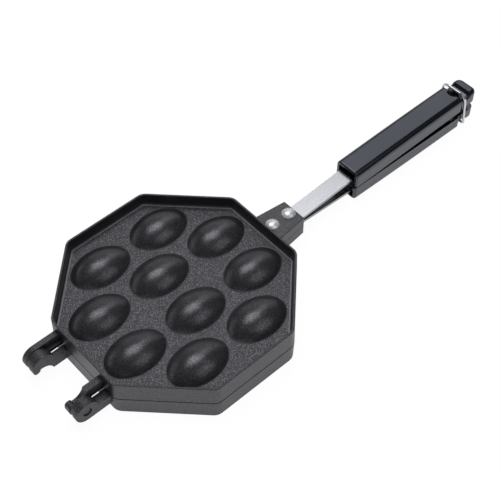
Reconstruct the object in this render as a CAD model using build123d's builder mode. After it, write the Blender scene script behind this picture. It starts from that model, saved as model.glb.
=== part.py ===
from build123d import *

import os
from math import cos, radians, sin, sqrt, tan

os.makedirs("parts", exist_ok=True)

# Driving dimensions, in mm. +X runs from the hinge to the handles, +Z is up.
# The pan is two like castings that meet at a level seam, so every height
# below is measured outwards from that seam.

# Casting: an octagonal tray whose floor carries the backs of the oval cups
pan_width = 160.0  # across two opposite flats, at the rim
half_height = 15.9  # seam to rim
corner_radius = 9.0
side_draft = 1.8  # degrees that the outer wall leans in towards the rim
seam_gap = 0.3  # between the two castings when shut
edge_round = 0.4
rim_wall = 1.6
inner_draft = 4.0  # degrees that the tray's wall leans in towards its floor
floor_height = 7.0  # outer face of the plate between the cups
floor_fillet = 1.0
lip_width = 4.0  # ridge round the cooking face
plate_recess = 2.0  # cooking face below that ridge

# Oval cups: half ellipsoids centred on the seam
cup_length = 46.0
cup_width = 31.0
cup_depth = 12.1
cup_wall = 3.0
cup_pitch_x = 51.3
inner_row_y = 19.2
outer_row_y = 51.8

# Hinge: each casting has an outer lug with a hole on one side and an inner
# lug with a stub on the other, so that two like castings hook together
pin_offset = 18.7  # from the casting's side to the hinge axis
lug_radius = 8.8
outer_lug_y = 29.8  # outer face of the outer lug
outer_lug_arm = 4.7
inner_lug_y = 17.2  # inner face of the inner lug
inner_lug_width = 5.0
hinge_side_gap = 0.3
boss_radius = 8.2
stub_radius = 3.3
stub_clearance = 0.08
stub_recess = 0.8  # stub end below the outer lug's face
stub_chamfer = 0.6
notch_x = 2.2  # lowest point of the inner lug's notch, beyond the pin
notch_height = 1.9
notch_radius = 8.5  # hollow from that point up towards the casting
toe_x = 5.95  # round toe at the lug's tip, beyond the pin
toe_radius = 2.65
ledge_width = 2.4  # thin ledge inside the outer lug's arm, at the seam
ledge_height = 3.0
lug_round = 0.6

# Tab for the handle, with two rivets
tab_length = 28.8
tab_root_width = 27.6
tab_end_width = 20.6
tab_height = 8.6
tab_round = 0.5
rivet_inset = 7.6  # first rivet from the casting's side
rivet_pitch = 15.6
rivet_head_radius = 5.2
rivet_head_height = 2.3
rivet_head_rim = 0.5
rivet_shank_radius = 2.45
rivet_tail_radius = 3.8
rivet_tail_height = 0.7
rivet_clearance = 0.05

# Flat steel bar from the tab into the grip
bar_width = 12.8
bar_thickness = 2.2
bar_seam_gap = 1.0  # straight end of the bar to the seam
bar_root_inset = 3.5  # bar end from the casting's side
bar_tilt = 4.1  # degrees outwards, beyond the bend
bar_bend_past_tab = 0.3
bar_in_grip = 70.0
bar_side_clearance = 0.2

# Moulded grip
grip_front = 82.0  # from the casting's side
grip_body_length = 115.0
grip_tail_length = 19.5
grip_width = 21.4
tail_width = 19.2
grip_front_inner = 0.3  # inner face from the seam
grip_rear_inner = 3.2
grip_front_outer = 13.8  # outer face from the seam
grip_middle_outer = 15.2
grip_rear_outer = 15.8
tail_outer = 14.2
grip_outer_round = 4.0
tail_outer_round = 3.0
grip_front_round = 1.5
tail_corner_round = 5.0
socket_clearance = 0.1
mouth_depth = 5.0  # wider pocket where the bar goes in
mouth_margin = 1.6  # on either side of the bar
mouth_top = 11.6
mouth_corner = 1.5
saddle_radius = 8.5  # hollow across the tail, where the ring crosses
saddle_depth = 2.7
saddle_from_shoulder = 6.0
hang_hole_radius = 6.0
hang_hole_from_shoulder = 2.4

# Screw that holds the grip to its bar, driven from the grip's inner face
screw_from_bar_end = 14.0
screw_shank_radius = 1.75
screw_head_radius = 3.4
screw_head_height = 2.2
screw_above_bar = 2.6
screw_clearance = 0.15
screw_slot_width = 1.0
screw_slot_depth = 1.0

# Lock ring: a closed wire loop round both tails, its lower wire in the lower saddle
wire_radius = 1.0
ring_half_width = 11.4  # to the middle of the wire
ring_top = 18.0  # middle of the top wire, above the seam
ring_lean = 4.0  # top wire forward of the lower wire
ring_top_corner = 6.0
ring_foot_corner = 2.0
ring_saddle_gap = 0.1  # lower wire to the saddle

# Places worked out from those sizes
side_x = pan_width / 2
pin_x = -side_x - pin_offset
lug_tip_x = pin_x - lug_radius
tab_end_x = side_x + tab_length
front_x = side_x + grip_front
shoulder_x = front_x + grip_body_length
tail_x = shoulder_x + grip_tail_length
pan_x = -(lug_tip_x + tail_x) / 2
seam_z = half_height
mating_height = seam_gap / 2

bar_root_x = side_x + bar_root_inset
bar_bend_x = tab_end_x + bar_bend_past_tab
bar_end_x = front_x + bar_in_grip
screw_x = bar_end_x - screw_from_bar_end
rivet_places = [side_x + rivet_inset, side_x + rivet_inset + rivet_pitch]
hang_hole_x = shoulder_x + hang_hole_from_shoulder
saddle_x = shoulder_x + saddle_from_shoulder
saddle_floor = tail_outer - saddle_depth
ring_foot = saddle_floor + ring_saddle_gap + wire_radius  # lower wire, below the seam

seam = Plane(origin=(pan_x, 0, seam_z))
tilt = radians(bar_tilt)
seam_axis = Axis((pan_x, 0, seam_z), (1, 0, 0))


def side_plane(y):
    """Upright plane along the pan at y: its x is +X and its y is +Z, from the seam."""
    return Plane(origin=(pan_x, y, seam_z), x_dir=(1, 0, 0), z_dir=(0, -1, 0))


def turned_over(piece):
    """The same piece for the other half, turned half a turn about the seam's long axis."""
    with BuildPart() as turned:
        add(piece.part.rotate(seam_axis, 180))
    return turned


def bar_bottom(x):
    """Height of the bar's seam side at x: level in the tab, then rising."""
    return bar_seam_gap + max(0.0, x - bar_bend_x) * tan(radians(bar_tilt))


def screw_plane():
    """Plane of the bar's seam side where the screw goes through."""
    return Plane(
        origin=(pan_x + screw_x, 0, seam_z + bar_bottom(screw_x)),
        x_dir=(cos(tilt), 0, sin(tilt)),
        z_dir=(-sin(tilt), 0, cos(tilt)),
    )


def grip_inner(x):
    """Height of the grip's inner face at x."""
    slope = (grip_rear_inner - grip_front_inner) / grip_body_length
    return grip_front_inner + (x - front_x) * slope


# Oval cups, as the solids that shape the plate's two sides
outer_rows = [(sx * cup_pitch_x / 2, sy * outer_row_y) for sx in (-1, 1) for sy in (-1, 1)]
inner_rows = [(sx * cup_pitch_x, sy * inner_row_y) for sx in (-1, 0, 1) for sy in (-1, 1)]
cup_centres = outer_rows + inner_rows

with BuildPart() as cup_hollow:
    Sphere(1)
    scale(by=(cup_length / 2, cup_width / 2, cup_depth))

with BuildPart() as cup_back:
    Sphere(1)
    scale(by=(cup_length / 2 + cup_wall, cup_width / 2 + cup_wall, cup_depth + cup_wall))

# Outer lug: an arm with a holed round end, and a boss on its inner side
with BuildPart() as outer_lug:
    with BuildSketch(side_plane(outer_lug_y)):
        with Locations((pin_x, 0)):
            Circle(lug_radius)
        with Locations((pin_x, mating_height)):
            Rectangle(pin_offset + rim_wall / 2, lug_radius - mating_height, align=Align.MIN)
    extrude(amount=outer_lug_arm)
    fillet(outer_lug.edges().filter_by(GeomType.CIRCLE), radius=lug_round)
    boss_length = outer_lug_y - inner_lug_y - inner_lug_width - hinge_side_gap
    with BuildSketch(side_plane(outer_lug_y - outer_lug_arm / 2)):
        with Locations((pin_x, 0)):
            Circle(boss_radius)
    extrude(amount=boss_length - outer_lug_arm / 2)
    with BuildSketch(side_plane(outer_lug_y - outer_lug_arm)):
        with Locations((pin_x, mating_height)):
            Rectangle(pin_offset + rim_wall / 2, ledge_height - mating_height, align=Align.MIN)
    extrude(amount=ledge_width)
    with BuildSketch(side_plane(outer_lug_y)):
        with Locations((pin_x, 0)):
            Circle(stub_radius + stub_clearance)
    extrude(amount=boss_length, mode=Mode.SUBTRACT)

# Inner lug: notched at the back, with the stub that turns in the other casting's hole
with BuildPart() as inner_lug:
    with BuildSketch(side_plane(-inner_lug_y)):
        with Locations((pin_x, 0)):
            Circle(lug_radius)
        with Locations((pin_x, mating_height)):
            Rectangle(pin_offset + rim_wall / 2, lug_radius - mating_height, align=Align.MIN)
        with Locations((pin_x - notch_x, notch_height)):
            Rectangle(
                lug_radius, lug_radius, align=(Align.MAX, Align.MIN), mode=Mode.SUBTRACT
            )
        with Locations((pin_x - notch_x, notch_height + notch_radius)):
            Circle(notch_radius, mode=Mode.SUBTRACT)
        with Locations((pin_x - toe_x, notch_height)):
            Circle(toe_radius)
    extrude(amount=inner_lug_width)
    with BuildSketch(side_plane(-inner_lug_y - inner_lug_width / 2)):
        with Locations((pin_x, 0)):
            Circle(stub_radius)
    stub_end = outer_lug_y - stub_recess
    extrude(amount=stub_end - inner_lug_y - inner_lug_width / 2)
    chamfer(inner_lug.faces().sort_by(Axis.Y)[0].edges(), length=stub_chamfer)

# Tab for the handle
with BuildPart() as handle_tab:
    with BuildSketch(seam.offset(mating_height)):
        tab_root_x = side_x - rim_wall / 2
        with BuildLine():
            Polyline(
                (tab_root_x, -tab_root_width / 2),
                (tab_end_x, -tab_end_width / 2),
                (tab_end_x, tab_end_width / 2),
                (tab_root_x, tab_root_width / 2),
                close=True,
            )
        make_face()
    extrude(amount=tab_height - mating_height)
    fillet(handle_tab.faces().sort_by(Axis.Z)[-1].edges(), radius=tab_round)

# Upper casting
with BuildPart() as upper_casting:
    wall_height = half_height - mating_height
    seam_apothem = pan_width / 2 + wall_height * tan(radians(side_draft))
    with BuildSketch(seam.offset(mating_height)) as seam_outline:
        RegularPolygon(seam_apothem, 8, major_radius=False, rotation=22.5)
        fillet(seam_outline.vertices(), radius=corner_radius)
    extrude(amount=wall_height, taper=side_draft)

    # Tray above the plate
    with BuildSketch(seam.offset(half_height)) as tray_outline:
        RegularPolygon(pan_width / 2 - rim_wall, 8, major_radius=False, rotation=22.5)
        fillet(tray_outline.vertices(), radius=corner_radius - rim_wall)
    extrude(amount=-(half_height - floor_height), taper=inner_draft, mode=Mode.SUBTRACT)
    floor_face = upper_casting.faces().filter_by(Axis.Z).group_by(Axis.Z)[-2]
    fillet(floor_face.edges(), radius=floor_fillet)
    fillet(upper_casting.faces().filter_by(Axis.Z).sort_by(Axis.Z)[-1].edges(), radius=edge_round)
    chamfer(upper_casting.faces().filter_by(Axis.Z).sort_by(Axis.Z)[0].edges(), length=edge_round)

    # Cooking face inside its ridge
    with BuildSketch(seam.offset(mating_height)) as face_outline:
        RegularPolygon(seam_apothem - lip_width, 8, major_radius=False, rotation=22.5)
        fillet(face_outline.vertices(), radius=corner_radius - lip_width / 2)
    extrude(amount=plate_recess - mating_height, mode=Mode.SUBTRACT)

    # Cups: the rounded backs stand on the floor, the hollows open at the seam
    for cup_x, cup_y in cup_centres:
        cup_place = Location((pan_x + cup_x, cup_y, seam_z))
        add(split(cup_back.part.moved(cup_place), bisect_by=seam.offset(plate_recess), keep=Keep.TOP,
                  mode=Mode.PRIVATE))
    for cup_x, cup_y in cup_centres:
        cup_place = Location((pan_x + cup_x, cup_y, seam_z))
        add(cup_hollow.part.moved(cup_place), mode=Mode.SUBTRACT)

    # Tab, hollow on the seam side for the bar
    add(handle_tab.part)
    with BuildSketch(seam.offset(mating_height)):
        with Locations((bar_root_x - bar_side_clearance, 0)):
            Rectangle(
                tab_length, bar_width + 2 * bar_side_clearance, align=(Align.MIN, Align.CENTER)
            )
    extrude(amount=bar_seam_gap + bar_thickness - mating_height, mode=Mode.SUBTRACT)
    with BuildSketch(seam.offset(tab_height)):
        with Locations(*[(x, 0) for x in rivet_places]):
            Circle(rivet_shank_radius + rivet_clearance)
    extrude(amount=-tab_height, mode=Mode.SUBTRACT)

    add(outer_lug.part)
    add(inner_lug.part)

# Upper bar: one flat strip with a slight bend where it leaves the tab
with BuildPart() as upper_bar:
    with BuildSketch(side_plane(bar_width / 2)):
        with BuildLine():
            Polyline(
                (bar_root_x, bar_bottom(bar_root_x)),
                (bar_bend_x, bar_bottom(bar_bend_x)),
                (bar_end_x, bar_bottom(bar_end_x)),
                (bar_end_x, bar_bottom(bar_end_x) + bar_thickness),
                (bar_bend_x, bar_bottom(bar_bend_x) + bar_thickness),
                (bar_root_x, bar_bottom(bar_root_x) + bar_thickness),
                close=True,
            )
        make_face()
    extrude(amount=bar_width)
    with BuildSketch(seam):
        with Locations(*[(x, 0) for x in rivet_places]):
            Circle(rivet_shank_radius + rivet_clearance)
    extrude(amount=half_height, mode=Mode.SUBTRACT)
    with BuildSketch(screw_plane()):
        Circle(screw_shank_radius + screw_clearance)
    extrude(amount=bar_thickness * 2, both=True, mode=Mode.SUBTRACT)


def rivet(x):
    """Domed rivet at x: head on the tab, tail spread on the bar's seam side."""
    dome_height = rivet_head_height - rivet_head_rim
    dome_radius = (rivet_head_radius**2 + dome_height**2) / (2 * dome_height)
    centre = Plane(origin=(pan_x + x, 0, seam_z))
    with BuildPart() as body:
        with Locations(centre.offset(tab_height + rivet_head_height - dome_radius)):
            Sphere(dome_radius)
        split(bisect_by=seam.offset(tab_height + rivet_head_rim), keep=Keep.TOP)
        with BuildSketch(centre.offset(tab_height)):
            Circle(rivet_head_radius)
        extrude(amount=rivet_head_rim)
        with BuildSketch(centre.offset(bar_seam_gap)):
            Circle(rivet_shank_radius)
        extrude(amount=tab_height - bar_seam_gap)
        with BuildSketch(centre.offset(bar_seam_gap)):
            Circle(rivet_tail_radius)
        extrude(amount=-rivet_tail_height)
    return body


upper_rivet_inner = rivet(rivet_places[0])
upper_rivet_outer = rivet(rivet_places[1])

# Tail of the grip, narrower than the body, with the saddle and the hang hole
with BuildPart() as grip_tail:
    tail_start_x = shoulder_x - grip_outer_round
    with BuildSketch(side_plane(tail_width / 2)):
        with BuildLine():
            Polyline(
                (tail_start_x, grip_inner(tail_start_x)),
                (tail_x, grip_inner(tail_x)),
                (tail_x, tail_outer),
                (tail_start_x, tail_outer),
                close=True,
            )
        make_face()
        with Locations((saddle_x, saddle_floor + saddle_radius)):
            Circle(saddle_radius, mode=Mode.SUBTRACT)
    extrude(amount=tail_width)
    fillet(grip_tail.edges().filter_by(Axis.Z).sort_by(Axis.X)[-2:], radius=tail_corner_round)
    top_edges = grip_tail.edges().filter_by_position(Axis.Z, seam_z + saddle_floor, seam_z + tail_outer)
    long_edges = [e for e in top_edges if abs(e.bounding_box().size.Y) < tail_width * 0.9]
    fillet(long_edges, radius=tail_outer_round)

# Upper grip
with BuildPart() as upper_grip:
    with BuildSketch(side_plane(grip_width / 2)):
        with BuildLine():
            Polyline(
                (front_x, grip_front_outer),
                (front_x, grip_inner(front_x)),
                (shoulder_x, grip_inner(shoulder_x)),
                (shoulder_x, grip_rear_outer),
            )
            ThreePointArc(
                (shoulder_x, grip_rear_outer),
                ((front_x + shoulder_x) / 2 - grip_body_length * 0.05, grip_middle_outer),
                (front_x, grip_front_outer),
            )
        make_face()
    extrude(amount=grip_width)
    fillet(upper_grip.edges().filter_by(GeomType.CIRCLE), radius=grip_outer_round)
    fillet(upper_grip.faces().sort_by(Axis.X)[0].edges(), radius=grip_front_round)
    add(grip_tail.part)

    # Hang hole
    with BuildSketch(seam):
        with Locations((hang_hole_x, 0)):
            Circle(hang_hole_radius)
    extrude(amount=half_height, mode=Mode.SUBTRACT)

    # Socket round the bar, with a wider mouth
    with BuildSketch(side_plane(bar_width / 2 + socket_clearance)):
        socket_end_x = bar_end_x + socket_clearance
        with BuildLine():
            Polyline(
                (front_x - mouth_depth, bar_bottom(front_x - mouth_depth) - socket_clearance),
                (socket_end_x, bar_bottom(socket_end_x) - socket_clearance),
                (socket_end_x, bar_bottom(socket_end_x) + bar_thickness + socket_clearance),
                (front_x - mouth_depth, bar_bottom(front_x - mouth_depth) + bar_thickness + socket_clearance),
                close=True,
            )
        make_face()
    extrude(amount=bar_width + 2 * socket_clearance, mode=Mode.SUBTRACT)

    mouth_low = bar_bottom(front_x) - socket_clearance
    mouth_plane = Plane(origin=(pan_x + front_x, 0, seam_z), x_dir=(0, 1, 0), z_dir=(1, 0, 0))
    with BuildSketch(mouth_plane):
        with Locations((0, (mouth_low + mouth_top) / 2)):
            RectangleRounded(bar_width + 2 * mouth_margin, mouth_top - mouth_low, mouth_corner)
    extrude(amount=mouth_depth, mode=Mode.SUBTRACT)

    # Screw hole from the inner face, wide up to the bar
    with BuildSketch(screw_plane()):
        Circle(screw_head_radius + screw_clearance)
    extrude(amount=-bar_bottom(screw_x), mode=Mode.SUBTRACT)
    with BuildSketch(screw_plane()):
        Circle(screw_shank_radius + screw_clearance)
    extrude(amount=bar_thickness + screw_above_bar + screw_clearance, mode=Mode.SUBTRACT)

# Screw, from the grip's inner face through the bar
with BuildPart() as upper_grip_screw:
    with BuildSketch(screw_plane()):
        Circle(screw_head_radius)
    extrude(amount=-screw_head_height)
    with BuildSketch(screw_plane()):
        Circle(screw_shank_radius)
    extrude(amount=bar_thickness + screw_above_bar)
    with BuildSketch(screw_plane().offset(-screw_head_height)):
        Rectangle(2 * screw_head_radius, screw_slot_width)
    extrude(amount=screw_slot_depth, mode=Mode.SUBTRACT)

# Lower half: the same pieces turned over about the seam
lower_casting = turned_over(upper_casting)
lower_bar = turned_over(upper_bar)
lower_rivet_inner = turned_over(upper_rivet_inner)
lower_rivet_outer = turned_over(upper_rivet_outer)
lower_grip_screw = turned_over(upper_grip_screw)
lower_grip = turned_over(upper_grip)

# Lock ring: one closed loop of wire
with BuildPart() as lock_ring:
    ring_plane = Plane(
        origin=(pan_x + saddle_x, 0, seam_z - ring_foot),
        x_dir=(0, 1, 0),
        z_dir=(ring_top + ring_foot, 0, ring_lean),
    )
    ring_height = sqrt((ring_top + ring_foot) ** 2 + ring_lean**2)
    with BuildLine(ring_plane) as ring_path:
        foot_corner = ring_foot_corner
        top_corner = ring_top_corner
        side = ring_half_width
        foot_wire = Line((-side + foot_corner, 0), (side - foot_corner, 0))
        right_foot = RadiusArc(foot_wire @ 1, (side, foot_corner), -foot_corner)
        right_leg = Line(right_foot @ 1, (side, ring_height - top_corner))
        right_top = RadiusArc(right_leg @ 1, (side - top_corner, ring_height), -top_corner)
        top_wire = Line(right_top @ 1, (-side + top_corner, ring_height))
        left_top = RadiusArc(top_wire @ 1, (-side, ring_height - top_corner), -top_corner)
        left_leg = Line(left_top @ 1, (-side, foot_corner))
        left_foot = RadiusArc(left_leg @ 1, foot_wire @ 0, -foot_corner)
    with BuildSketch(Plane(origin=foot_wire @ 0.5, z_dir=foot_wire % 0.5)):
        Circle(wire_radius)
    sweep(path=ring_path.wire())

upper_casting.part.label = "upper_casting"
lower_casting.part.label = "lower_casting"
upper_bar.part.label = "upper_bar"
lower_bar.part.label = "lower_bar"
upper_rivet_inner.part.label = "upper_rivet_inner"
upper_rivet_outer.part.label = "upper_rivet_outer"
lower_rivet_inner.part.label = "lower_rivet_inner"
lower_rivet_outer.part.label = "lower_rivet_outer"
upper_grip.part.label = "upper_grip"
lower_grip.part.label = "lower_grip"
upper_grip_screw.part.label = "upper_grip_screw"
lower_grip_screw.part.label = "lower_grip_screw"
lock_ring.part.label = "lock_ring"

export_step(upper_casting.part, "parts/upper_casting.step")
export_step(lower_casting.part, "parts/lower_casting.step")
export_step(upper_bar.part, "parts/upper_bar.step")
export_step(lower_bar.part, "parts/lower_bar.step")
export_step(upper_rivet_inner.part, "parts/upper_rivet_inner.step")
export_step(upper_rivet_outer.part, "parts/upper_rivet_outer.step")
export_step(lower_rivet_inner.part, "parts/lower_rivet_inner.step")
export_step(lower_rivet_outer.part, "parts/lower_rivet_outer.step")
export_step(upper_grip.part, "parts/upper_grip.step")
export_step(lower_grip.part, "parts/lower_grip.step")
export_step(upper_grip_screw.part, "parts/upper_grip_screw.step")
export_step(lower_grip_screw.part, "parts/lower_grip_screw.step")
export_step(lock_ring.part, "parts/lock_ring.step")
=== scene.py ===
# %% [markdown]
# # A folding takoyaki pan, in cells
# The pan is two cast aluminium trays hinged at one side, each with a riveted steel bar
# and a black grip, and a wire ring that holds the grips together. The solids come ready
# made from the CAD frame. This file gives them their finishes, makes the rivets anew with
# rounder heads than the solids have, and sets up the floor, the lamps and the camera.

import bpy
import math
from mathutils import Matrix, Vector


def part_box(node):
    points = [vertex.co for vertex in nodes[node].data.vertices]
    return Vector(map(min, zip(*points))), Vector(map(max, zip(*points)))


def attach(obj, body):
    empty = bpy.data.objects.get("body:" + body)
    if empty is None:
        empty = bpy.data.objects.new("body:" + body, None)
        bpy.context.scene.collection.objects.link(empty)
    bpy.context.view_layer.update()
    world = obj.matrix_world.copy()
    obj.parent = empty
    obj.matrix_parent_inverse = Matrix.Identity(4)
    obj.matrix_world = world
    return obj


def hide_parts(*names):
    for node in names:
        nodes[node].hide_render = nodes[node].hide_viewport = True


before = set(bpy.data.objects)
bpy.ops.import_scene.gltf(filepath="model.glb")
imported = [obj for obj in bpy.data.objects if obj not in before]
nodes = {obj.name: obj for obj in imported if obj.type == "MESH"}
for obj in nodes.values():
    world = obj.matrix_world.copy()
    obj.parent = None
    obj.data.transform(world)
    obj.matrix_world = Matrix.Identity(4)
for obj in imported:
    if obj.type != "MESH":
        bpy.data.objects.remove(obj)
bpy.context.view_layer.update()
print("nodes:", sorted(nodes))

# %% [markdown]
# Sizes that more than one cell needs. The seam lies halfway up the shut pan, as the
# frame's boxes give it, and the middle of the octagon lies a fixed way in from the tips of
# the hinge lugs, which are the casting's lowest X.

# %% Shared sizes
MM = 0.001
lug_tip_to_middle = 107.5 * MM
rim_low, rim_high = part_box("lower_casting")[0][2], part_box("upper_casting")[1][2]
seam_z = (rim_low + rim_high) / 2
pan_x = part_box("upper_casting")[0][0] + lug_tip_to_middle
print("seam at", round(seam_z / MM, 2), "mm")
print("middle of the octagon at", round(pan_x / MM, 2), "mm")

# %% [markdown]
# Colours are written as sRGB hex values, the way a colour picker shows them. Shader
# sockets want linear light, so one function turns one into the other.


# %% Colours
def colour(hex_value):
    """An sRGB hex value as linear RGBA."""
    parts = [int(hex_value[i : i + 2], 16) / 255 for i in (1, 3, 5)]
    linear = [c / 12.92 if c <= 0.04045 else ((c + 0.055) / 1.055) ** 2.4 for c in parts]
    return (*linear, 1.0)


white = colour("#ffffff")
print("mid grey in linear light:", round(colour("#808080")[0], 3))

# %% [markdown]
# Every material is a small tree of nodes. One function adds a node with its settings, and
# another fills its inputs: a socket, or a node with one result, becomes a link, and
# anything else is written on the node's own socket.


# %% A node, with its settings and links
def connect(tree, node, inputs):
    """Fills a node's inputs, by name from a dict or in order from a list."""
    pairs = inputs.items() if isinstance(inputs, dict) else enumerate(inputs)
    for socket, value in pairs:
        if isinstance(value, bpy.types.Node):
            value = value.outputs[0]
        if isinstance(value, bpy.types.NodeSocket):
            tree.links.new(value, node.inputs[socket])
        else:
            node.inputs[socket].default_value = value


def add(tree, kind, inputs=(), **settings):
    """Adds a node of that kind to the tree, with its settings and inputs."""
    made = tree.nodes.new(kind)
    for name, value in settings.items():
        setattr(made, name, value)
    connect(tree, made, inputs)
    return made


# %% [markdown]
# A material starts as one principled shader. On metal and plastic one fine pattern often
# steers both how rough a spot is and how it stands out, so one function does both.


# %% Materials
def start_material(name, inputs):
    """A material with one principled shader, its tree and the shader."""
    material = bpy.data.materials.new(name)
    material.use_nodes = True
    tree = material.node_tree
    tree.nodes.clear()
    shader = add(tree, "ShaderNodeBsdfPrincipled", inputs)
    add(tree, "ShaderNodeOutputMaterial", {"Surface": shader})
    return material, tree, shader


def texture(tree, shader, pattern, smooth, rough, bump=0.0, depth=0.0):
    """One pattern sets the roughness, from smooth to rough, and raises the surface."""
    shine = add(
        tree, "ShaderNodeMath", [pattern, rough - smooth, smooth], operation="MULTIPLY_ADD"
    )
    connect(tree, shader, {"Roughness": shine})
    if bump:
        raised = {"Strength": bump, "Distance": depth, "Height": pattern}
        connect(tree, shader, {"Normal": add(tree, "ShaderNodeBump", raised)})


def paint(material, *names):
    """Puts one material on whole CAD nodes."""
    for name in names:
        if not nodes[name].material_slots:
            nodes[name].data.materials.append(material)
        for slot in nodes[name].material_slots:
            slot.material = material
    print(material.name, "on", ", ".join(names))


# %% [markdown]
# ## Cast aluminium with a speckled non-stick coat
# The trays are gravity cast in aluminium and sprayed with a dark coat that carries pale
# mineral flecks. On the floor between the cups the coat is thick and grainy, with flecks
# that catch the light. The outer walls, the lugs and the tab have about half of that
# grain. The cup backs are rubbed smoother, and so is the cooking side. A separate
# material for each region would leave hard borders, so one material tells the regions
# apart by distance. Both halves share it, because distances are taken from the seam. Its
# IOR starts from a lacquer's 1.5 and is raised to match the sheen of the cup backs.

# %% Distances that tell the coat's regions apart
coat, tree, shader = start_material(
    "Cast aluminium, speckled non-stick coat", {"IOR": 1.75, "Specular Tint": colour("#f5f4fd")}
)
coordinates = add(tree, "ShaderNodeTexCoord")
place = coordinates.outputs["Object"]
middle = (pan_x, 0.0, seam_z)
centred = add(tree, "ShaderNodeVectorMath", [place, middle], operation="SUBTRACT")
split = add(tree, "ShaderNodeSeparateXYZ", [centred])
across_x = add(tree, "ShaderNodeMath", [split.outputs["X"]], operation="ABSOLUTE")
across_y = add(tree, "ShaderNodeMath", [split.outputs["Y"]], operation="ABSOLUTE")
height = add(tree, "ShaderNodeMath", [split.outputs["Z"]], operation="ABSOLUTE")
behind = add(tree, "ShaderNodeMath", [split.outputs["X"], -1.0], operation="MULTIPLY")
both = add(tree, "ShaderNodeMath", [across_x, across_y], operation="ADD")
diagonal = add(tree, "ShaderNodeMath", [both, math.sqrt(0.5)], operation="MULTIPLY")
square = add(tree, "ShaderNodeMath", [across_x, across_y], operation="MAXIMUM")
octagon = add(tree, "ShaderNodeMath", [square, diagonal], operation="MAXIMUM")
print("distances from", [round(value / MM, 2) for value in middle], "mm")

# %% [markdown]
# Each region starts or ends where one of those distances passes a certain value. A Map
# Range node with a smooth step makes the change soft. The table is in mm. In it, octagon
# is the distance from the pan's middle to a side of an octagon through that point, which
# is about 80 mm at the outer walls, and height is the distance from the seam.

# %% Where the coat changes
floor_height = 7.0
steps = {}
for name, distance, start, end, before, after in (
    ("near_wall", octagon, 75.9, 76.3, 0.0, 1.0),
    ("past_floor", octagon, 76.4, 77.4, 0.0, 1.0),
    ("on_edge", octagon, 78.0, 78.4, 0.0, 1.0),
    ("on_wall", octagon, 78.6, 79.2, 0.0, 1.0),
    ("on_lugs", behind, 80.4, 81.5, 0.0, 1.0),
    ("off_floor", height, floor_height + 0.03, floor_height + 0.15, 0.0, 1.0),
    ("foot_fades", height, floor_height + 0.4, floor_height + 0.8, 0.5, 0.0),
    ("wall_fades", height, floor_height + 0.8, floor_height + 1.4, 1.0, 0.0),
    ("at_floor", height, floor_height + 0.25, floor_height + 1.6, 1.0, 0.0),
    ("above_floor", height, floor_height + 0.25, floor_height + 1.6, 0.0, 1.0),
    ("at_rim", height, 15.0, 15.6, 0.0, 1.0),
):
    limits = {"From Min": start * MM, "From Max": end * MM, "To Min": before, "To Max": after}
    steps[name] = add(
        tree,
        "ShaderNodeMapRange",
        {"Value": distance, **limits},
        interpolation_type="SMOOTHSTEP",
    )
print("changes at", ", ".join(steps))

# %% [markdown]
# A region is the product of its steps. The cooking side has the same heights as the cup
# backs, so it is told apart by its normals, which face the seam.

# %% The coat's regions
normal = add(tree, "ShaderNodeSeparateXYZ", [coordinates.outputs["Normal"]])
from_seam = [normal.outputs["Z"], split.outputs["Z"]]
agreement = add(tree, "ShaderNodeMath", from_seam, operation="MULTIPLY")
outward = add(tree, "ShaderNodeMath", [agreement, 0.0], operation="GREATER_THAN")
in_tray = [outward, steps["past_floor"]]
inside = add(tree, "ShaderNodeMath", in_tray, operation="SUBTRACT", use_clamp=True)
on_floor = add(tree, "ShaderNodeMath", [inside, steps["at_floor"]], operation="MULTIPLY")
on_cups = add(tree, "ShaderNodeMath", [inside, steps["above_floor"]], operation="MULTIPLY")
on_rim = add(
    tree, "ShaderNodeMath", [steps["on_edge"], steps["at_rim"]], operation="MULTIPLY"
)
half_grainy = add(tree, "ShaderNodeMath", [steps["on_wall"], 0.5], operation="MULTIPLY")
grainy = add(tree, "ShaderNodeMath", [on_floor, half_grainy], operation="MAXIMUM")
print("coat so far:", len(tree.nodes), "nodes")

# %% [markdown]
# The flecks are the middles of Voronoi cells, and each cell's random colour picks how
# bright its fleck is. The real grains are a few tenths of a millimetre wide, too fine for
# one pixel of the picture, so they are drawn about twice as coarse. A noise of larger
# spots makes the sprayed coat a little uneven.

# %% Flecks and mottle
grain_size, mottle_size = 0.52 * MM, 9 * MM
least_flecks, more_on_grain, more_on_cups = 0.08, 0.85, 0.45
cells = add(
    tree, "ShaderNodeTexVoronoi", {"Vector": place, "Scale": 1 / grain_size}, feature="F1"
)
cell_value = add(tree, "ShaderNodeSeparateColor", [cells.outputs["Color"]])
spot = add(
    tree,
    "ShaderNodeMapRange",
    {"Value": cells, "From Min": 0.1, "From Max": 0.6, "To Min": 1.0, "To Max": 0.0},
    interpolation_type="SMOOTHSTEP",
)
pick = add(
    tree,
    "ShaderNodeMapRange",
    {"Value": cell_value, "From Min": 0.15, "From Max": 0.95},
    interpolation_type="SMOOTHSTEP",
)
picked = add(tree, "ShaderNodeMath", [spot, pick], operation="MULTIPLY")
reach = least_flecks
for region, more in ((grainy, more_on_grain), (on_cups, more_on_cups)):
    reach = add(tree, "ShaderNodeMath", [region, more, reach], operation="MULTIPLY_ADD")
flecks = add(tree, "ShaderNodeMath", [picked, reach], operation="MULTIPLY")
mottle = add(
    tree,
    "ShaderNodeTexNoise",
    {"Vector": place, "Scale": 1 / mottle_size, "Detail": 3.0, "Roughness": 0.5},
)
print("flecks every", grain_size / MM, "mm, mottle every", mottle_size / MM, "mm")
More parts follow.
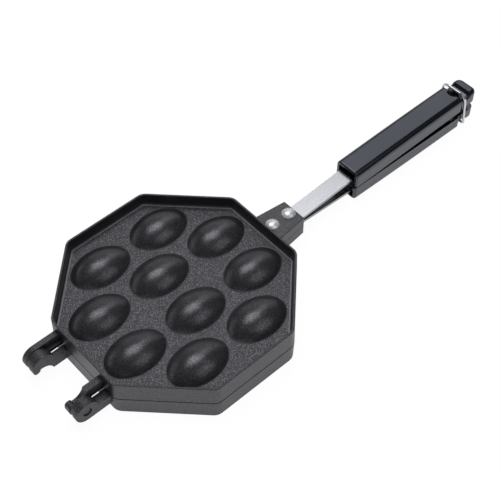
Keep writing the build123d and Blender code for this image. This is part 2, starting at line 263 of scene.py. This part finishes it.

# %% [markdown]
# A pale line is painted along the edge of the floor and round the foot of each cup. It is a
# painted highlight that stands in for the light the rounded corners there catch.
# The flecks glint, so they are metallic as well as pale.

# %% The coat's colour
foot = add(tree, "ShaderNodeMath", [inside, steps["off_floor"]], operation="MULTIPLY")
foot = add(tree, "ShaderNodeMath", [foot, steps["foot_fades"]], operation="MULTIPLY")
edge = add(tree, "ShaderNodeMath", [steps["near_wall"], inside], operation="MULTIPLY")
edge = add(tree, "ShaderNodeMath", [edge, steps["wall_fades"]], operation="MULTIPLY")
# Painted highlight: the pale #77777a line along the floor's edge and round each cup's foot.
painted_highlight_line = add(tree, "ShaderNodeMath", [edge, foot], operation="MAXIMUM")
tone = colour("#1c1c1f")
for share, other in (
    (on_floor, colour("#17171a")),
    (flecks, colour("#c6c6cf")),
    (painted_highlight_line, colour("#77777a")),
):
    blend = {"Factor": share, "A": tone, "B": other}
    tone = add(tree, "ShaderNodeMix", blend, data_type="RGBA").outputs["Result"]
bare = add(
    tree,
    "ShaderNodeMapRange",
    {"Value": flecks, "From Min": 0.0, "From Max": 0.3},
    interpolation_type="SMOOTHSTEP",
)
connect(tree, shader, {"Base Color": tone, "Metallic": bare})
print("coat so far:", len(tree.nodes), "nodes")

# %% [markdown]
# The smooth parts have a satin shine. The grain scatters the light more on the floor, the
# lugs, the walls and the edge of the rim, and stands up a tenth of a millimetre.

# %% The coat's shine and grain
least_grain = 0.15
rough = 0.26
for region, more in (
    (on_floor, 0.19),
    (on_rim, 0.12),
    (steps["on_lugs"], 0.12),
    (steps["on_wall"], 0.09),
    (mottle, 0.06),
):
    rough = add(tree, "ShaderNodeMath", [region, more, rough], operation="MULTIPLY_ADD")
grain_height = add(tree, "ShaderNodeMath", [grainy, least_grain], operation="ADD")
grain = add(tree, "ShaderNodeMath", [cells, grain_height], operation="MULTIPLY")
raised = {"Strength": 0.35, "Distance": 0.12 * MM, "Height": grain}
bump = add(tree, "ShaderNodeBump", raised)
connect(tree, shader, {"Roughness": rough, "Normal": bump})
paint(coat, "upper_casting", "lower_casting")

# %% [markdown]
# ## Stainless steel strip
# The bars are cut from cold rolled strip and brushed along their length. Brushing leaves
# fine lines that run with the bar, which stretch a highlight across it. Anisotropic
# shading could fake them, but a noise that is stretched more than a hundredfold along X
# gives lines that can be seen. Real ones are about a tenth of a millimetre wide, too fine
# to show, so they are drawn several times as wide.

# %% Brushed steel
line_length, line_width = 83.333 * MM, 0.625 * MM
strip, tree, shader = start_material(
    "Stainless steel strip, brushed", {"Metallic": 1.0, "Base Color": colour("#a5a6aa")}
)
place = add(tree, "ShaderNodeTexCoord").outputs["Object"]
per_metre = (1 / line_length, 1 / line_width, 1 / line_width)
stretched = add(tree, "ShaderNodeMapping", {"Vector": place, "Scale": per_metre})
lines = add(tree, "ShaderNodeTexNoise", {"Vector": stretched, "Scale": 1.0, "Detail": 2.0})
texture(tree, shader, lines, smooth=0.2, rough=0.3, bump=0.05, depth=0.03 * MM)
paint(strip, "upper_bar", "lower_bar")

# %% [markdown]
# ## Phenolic grips
# The grips are pressed in black phenolic resin in a polished mould, so they have a soft
# gloss, with very slight waves where the resin shrank. The IOR starts from phenolic's 1.6
# and is raised to match how strongly the real grips shine.

# %% Black phenolic
wave_size = 14 * MM
phenolic, tree, shader = start_material(
    "Phenolic moulding, black",
    {
        "Metallic": 0.0,
        "IOR": 1.9,
        "Base Color": colour("#07080c"),
        "Specular Tint": colour("#e6edff"),
    },
)
place = add(tree, "ShaderNodeTexCoord").outputs["Object"]
waves = add(
    tree,
    "ShaderNodeTexNoise",
    {"Vector": place, "Scale": 1 / wave_size, "Detail": 2.0, "Roughness": 0.4},
)
texture(tree, shader, waves, smooth=0.16, rough=0.24, bump=0.2, depth=0.15 * MM)
paint(phenolic, "upper_grip", "lower_grip")

# %% [markdown]
# ## Drawn steel wire
# The lock ring is bent from bright drawn wire. Drawing leaves it almost mirror smooth, so
# a faint change of shine along it is enough. The grip screws have the same finish.

# %% Steel wire
draw_marks = 3 * MM
wire, tree, shader = start_material(
    "Steel wire, bright drawn", {"Metallic": 1.0, "Base Color": colour("#dcdde0")}
)
place = add(tree, "ShaderNodeTexCoord").outputs["Object"]
drawing = add(tree, "ShaderNodeTexNoise", {"Vector": place, "Scale": 1 / draw_marks})
texture(tree, shader, drawing, smooth=0.17, rough=0.27)
paint(wire, "lock_ring", "upper_grip_screw", "lower_grip_screw")

# %% [markdown]
# ## Rivets
# Two aluminium rivets hold each bar to its tab. Their heads are pressed in a die, which
# leaves them bright, with shallow pits that break up the highlight. A film of oxide dulls
# them, so they are less than fully metallic.

# %% Rivet finish
pit_size = 1.2 * MM
pressed, tree, shader = start_material(
    "Aluminium rivet, pressed", {"Metallic": 0.6, "Base Color": colour("#eceef0")}
)
place = add(tree, "ShaderNodeTexCoord").outputs["Object"]
pits = add(
    tree, "ShaderNodeTexNoise", {"Vector": place, "Scale": 1 / pit_size, "Detail": 3.0}
)
texture(tree, shader, pits, smooth=0.2, rough=0.34, bump=0.15, depth=0.05 * MM)
print("pits every", pit_size / MM, "mm")

# %% [markdown]
# A rivet is round, so it could be lathed with a Screw modifier. Turning its profile in a
# few lines of code closes the ends on the axis without doubled points.


# %% A profile turned about its axis
def turned(name, profile, sides=48):
    """A closed mesh from a profile of (radius, height) points, first and last on the axis."""
    verts, faces, rings = [], [], []
    for radius, z in profile:
        if radius == 0:
            rings.append([len(verts)])
            verts.append((0, 0, z))
            continue
        rings.append(list(range(len(verts), len(verts) + sides)))
        for i in range(sides):
            angle = math.tau * i / sides
            verts.append((radius * math.cos(angle), radius * math.sin(angle), z))
    for low, high in zip(rings, rings[1:]):
        for i in range(sides):
            j = (i + 1) % sides
            quad = [ring[k % len(ring)] for ring, k in ((low, i), (low, j), (high, j), (high, i))]
            faces.append([v for k, v in enumerate(quad) if v not in quad[:k]])
    mesh = bpy.data.meshes.new(name)
    mesh.from_pydata(verts, [], faces)
    mesh.shade_smooth()
    return bpy.data.objects.new(name, mesh)


# %% [markdown]
# The places of the rivets come from the CAD nodes that they replace. The head is a dome
# that is a little slimmer near its rim than half an ellipsoid.

# %% One rivet
inner_low, inner_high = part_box("upper_rivet_inner")
outer_low, outer_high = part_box("upper_rivet_outer")
rivet_bottom, rivet_top = inner_low[2], inner_high[2]
rivet_x = (inner_low[0] + inner_high[0]) / 2
rivet_step = (outer_low[0] + outer_high[0]) / 2 - rivet_x
head_radius = (inner_high[0] - inner_low[0]) / 2
head_height, head_rim = 2.3 * MM, 0.15 * MM
shank_radius = 2.45 * MM
tail_radius, tail_height, tail_chamfer = 3.8 * MM, 0.7 * MM, 0.1 * MM
dome_steps = 14
under_head, over_tail = rivet_top - head_height, rivet_bottom + tail_height
profile = [
    (0, rivet_bottom),
    (tail_radius - tail_chamfer, rivet_bottom),
    (tail_radius, rivet_bottom + tail_chamfer),
    (tail_radius, over_tail),
    (shank_radius, over_tail),
    (shank_radius, under_head),
    (head_radius - head_rim, under_head),
]
for i in range(1, dome_steps):
    angle = math.pi / 2 * i / dome_steps
    bulge, rise = math.cos(angle) ** 0.9, math.sin(angle) ** 1.15
    profile.append((head_radius * bulge, under_head + head_height * rise))
profile.append((0, rivet_top))
one_rivet = turned("one_rivet", profile)
print("rivet of", round(head_radius * 2 / MM, 1), "mm,", round(rivet_step / MM, 1), "mm apart")

# %% [markdown]
# The rivets are alike, so Geometry Nodes set copies of one along a line. The tree's inputs
# are the number of rivets, the step between them and where the row starts.

# %% The inputs of a row of rivets
row = bpy.data.node_groups.new("Rivet row", "GeometryNodeTree")
row.interface.new_socket("Geometry", in_out="OUTPUT", socket_type="NodeSocketGeometry")
sockets = {}
for name, kind, value in (
    ("Count", "NodeSocketInt", 2),
    ("Step", "NodeSocketFloat", rivet_step),
    ("Start", "NodeSocketFloat", rivet_x),
    ("Rivet", "NodeSocketObject", None),
    ("Material", "NodeSocketMaterial", None),
):
    sockets[name] = row.interface.new_socket(name, in_out="INPUT", socket_type=kind)
    if value is not None:
        sockets[name].default_value = value
print("inputs:", ", ".join(sockets))

# %% The row itself
given = add(row, "NodeGroupInput").outputs
first = add(row, "ShaderNodeCombineXYZ", {"X": given["Start"]})
step = add(row, "ShaderNodeCombineXYZ", {"X": given["Step"]})
line = add(
    row,
    "GeometryNodeMeshLine",
    {"Count": given["Count"], "Start Location": first, "Offset": step},
)
source = add(row, "GeometryNodeObjectInfo", {"Object": given["Rivet"]})
copies = add(
    row,
    "GeometryNodeInstanceOnPoints",
    {"Points": line, "Instance": source.outputs["Geometry"]},
)
real = add(row, "GeometryNodeRealizeInstances", [copies])
finished = add(
    row, "GeometryNodeSetMaterial", {"Geometry": real, "Material": given["Material"]}
)
add(row, "NodeGroupOutput", [finished])
print("row:", len(row.nodes), "nodes")

# %% [markdown]
# A modifier runs the tree. Its result is then copied to a plain mesh, so that nothing
# live is left on the piece. The lower half's rivets are the same row turned over about
# the seam, so the copy is turned before it is used.


# %% The rivets of both halves
def rivets(name, turned_over):
    """The row of rivets for one half, as a plain mesh piece."""
    holder = bpy.data.objects.new(name + "_row", bpy.data.meshes.new(name + "_row"))
    bpy.context.scene.collection.objects.link(holder)
    modifier = holder.modifiers.new("Rivet row", "NODES")
    modifier.node_group = row
    modifier[sockets["Rivet"].identifier] = one_rivet
    modifier[sockets["Material"].identifier] = pressed
    ready = holder.evaluated_get(bpy.context.evaluated_depsgraph_get())
    mesh = bpy.data.meshes.new_from_object(ready)
    bpy.data.objects.remove(holder)
    if turned_over:
        there = Matrix.Translation((0, 0, seam_z))
        mesh.transform(there @ Matrix.Rotation(math.pi, 4, "X") @ there.inverted())
    piece = bpy.data.objects.new(name, mesh)
    bpy.context.scene.collection.objects.link(piece)
    print(name, len(mesh.polygons), "faces")
    return piece


upper_rivets = rivets("upper_rivets", False)
lower_rivets = rivets("lower_rivets", True)
bpy.data.objects.remove(one_rivet)
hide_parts("upper_rivet_inner", "upper_rivet_outer")
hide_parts("lower_rivet_inner", "lower_rivet_outer")
for piece, body in ((upper_rivets, "upper_half"), (lower_rivets, "lower_half")):
    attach(piece, body)

# %% [markdown]
# ## Floor, lamps and camera
# The pan lies on white paper. A white floor could be had from more light, but that would
# wash out the pan. So the camera sees the paper glow white, mixed with a little of its
# lit colour, which still shows where the pan shades it. Glossy rays see about half of that
# glow, so the walls and the steel mirror a pale table.

# %% White paper
seen_share, mirrored_share = 0.93, 0.47
paper, tree, shader = start_material(
    "Studio paper, white", {"Base Color": colour("#f2f2f2"), "Roughness": 0.9}
)
glow = add(tree, "ShaderNodeEmission", {"Color": white, "Strength": 1.03})
ray = add(tree, "ShaderNodeLightPath").outputs
share = add(
    tree, "ShaderNodeMath", [ray["Is Camera Ray"], seen_share], operation="MULTIPLY"
)
share = add(
    tree,
    "ShaderNodeMath",
    [ray["Is Glossy Ray"], mirrored_share, share],
    operation="MULTIPLY_ADD",
)
mixed = add(tree, "ShaderNodeMixShader", [share, shader, glow])
output = next(node for node in tree.nodes if node.type == "OUTPUT_MATERIAL")
connect(tree, output, {"Surface": mixed})
print(paper.name, "glows for the camera by", seen_share)

# %% The floor
half_floor = 6.0
corners = [(-1, -1), (1, -1), (1, 1), (-1, 1)]
sheet = bpy.data.meshes.new("paper")
verts = [(x * half_floor, y * half_floor, rim_low) for x, y in corners]
sheet.from_pydata(verts, [], [(0, 1, 2, 3)])
floor = bpy.data.objects.new("paper", sheet)
floor.data.materials.append(paper)
bpy.context.scene.collection.objects.link(floor)
print("floor at", round(rim_low / MM, 2), "mm")

# %% [markdown]
# The world is dark for the pan and white for the camera, so the dark parts stay dark.

# %% World
world = bpy.data.worlds.new("Studio")
bpy.context.scene.world = world
world.use_nodes = True
tree = world.node_tree
tree.nodes.clear()
ray = add(tree, "ShaderNodeLightPath").outputs
room = add(tree, "ShaderNodeBackground", {"Color": white, "Strength": 0.06})
backdrop = add(tree, "ShaderNodeBackground", {"Color": white, "Strength": 1.0})
mixed = add(tree, "ShaderNodeMixShader", [ray["Is Camera Ray"], room, backdrop])
add(tree, "ShaderNodeOutputWorld", {"Surface": mixed})
print("world:", len(tree.nodes), "nodes")

# %% [markdown]
# A softbox stands high behind the pan, where the flat tops mirror it towards the camera,
# and a smaller one stands lower for the grips. The studio's white sweep glows faintly
# behind them. The front lamp lights the near flanks of the cups, and two long lamps give
# the steel something to mirror from the other sides. A broad lamp straight above only
# lights the matt surfaces, because glossy rays don't see it.

# %% Lamps
lamps_face = Vector((pan_x + 65 * MM, 0, seam_z))


def lamp(name, direction, distance, width, length, power):
    """A soft rectangular lamp that faces the pan from that direction."""
    data = bpy.data.lights.new(name, "AREA")
    data.shape = "RECTANGLE"
    data.size, data.size_y, data.energy = width, length, power
    made = bpy.data.objects.new(name, data)
    away = Vector(direction).normalized()
    made.location = lamps_face + away * distance
    made.rotation_euler = away.to_track_quat("Z", "Y").to_euler()
    bpy.context.scene.collection.objects.link(made)
    print(name, "lamp of", power, "W")
    return made


# Name, direction, then distance, width and length in metres, and power in watts
overhead = lamp("overhead", (-0.05, -0.02, 1.0), 1.3, 0.9, 0.6, 9.0)
overhead.visible_glossy = False
lamp("softbox", (0.19, 0.38, 0.9), 3.0, 1.4, 1.25, 15.8)
lamp("softbox_low", (0.6, 0.42, 0.69), 3.0, 0.8, 1.0, 2.4)
lamp("sweep", (0.6, 0.66, 0.4), 2.5, 3.0, 1.4, 5.0)
lamp("front", (0.22, -0.46, 0.86), 2.0, 1.2, 1.1, 3.0)
lamp("left", (-0.78, -0.45, 0.42), 2.6, 2.6, 1.0, 3.4)
lamp("rear", (-0.5, 0.76, 0.42), 2.6, 2.6, 1.0, 3.4)

# %% [markdown]
# The camera looks down at about 52 degrees, across the pan's corner, with a long lens
# about 0.75 m away. Its place is given in mm from the middle of the octagon.

# %% Camera
from_middle = (-257.22, -357.06, 611.95)
view_direction = Vector((0.41434, 0.45744, -0.78681))
roll = math.radians(0.24)
camera_data = bpy.data.cameras.new("camera")
camera_data.lens = 79.3
camera_data.sensor_width = 36.0
camera = bpy.data.objects.new("camera", camera_data)
bpy.context.scene.collection.objects.link(camera)
bpy.context.scene.camera = camera
camera.location = [start + offset * MM for start, offset in zip(middle, from_middle)]
turn = view_direction.to_track_quat("-Z", "Y").to_matrix().to_4x4()
camera.rotation_euler = (turn @ Matrix.Rotation(roll, 4, "Z")).to_euler()
bpy.context.scene.view_settings.view_transform = "Standard"
print("camera", round(math.hypot(*from_middle)), "mm from the middle of the octagon")
